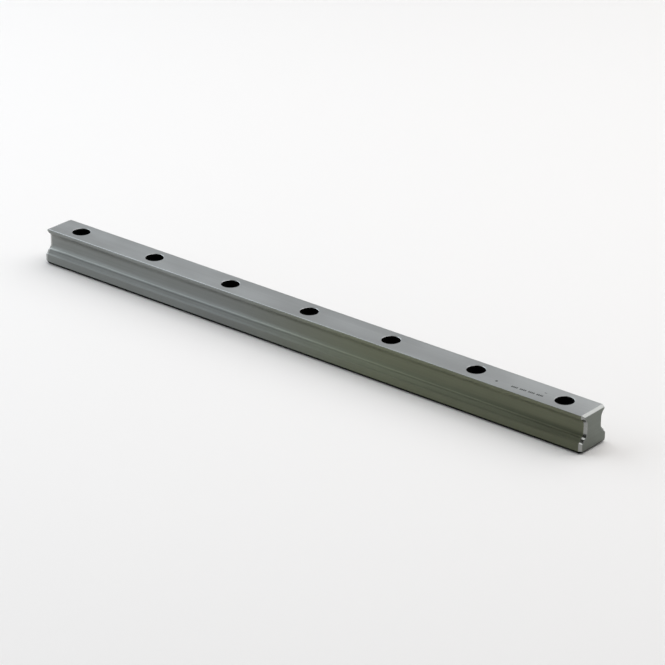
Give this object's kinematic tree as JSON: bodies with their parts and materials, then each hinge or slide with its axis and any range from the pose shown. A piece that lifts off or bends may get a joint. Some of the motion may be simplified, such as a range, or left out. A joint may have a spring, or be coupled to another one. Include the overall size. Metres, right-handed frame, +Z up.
{
  "type": "linear guide rail",
  "caption": "Straight profiled steel rail of a linear motion guide, with ball grooves along both sides and a row of counterbored mounting holes.",
  "frame": {"origin": "middle of the underside, at the middle of the rail's length and width", "axes": "+X along the rail, +Z up from the base to the top face, +Y across the rail"},
  "size_m": [0.4, 0.023, 0.022],
  "materials": {
    "ground_steel": "hardened steel, ground along its length, with dark heat scale left in the holes"
  },
  "bodies": {
    "root": {"guide_rail": "ground_steel"}
  },
  "joints": []
}
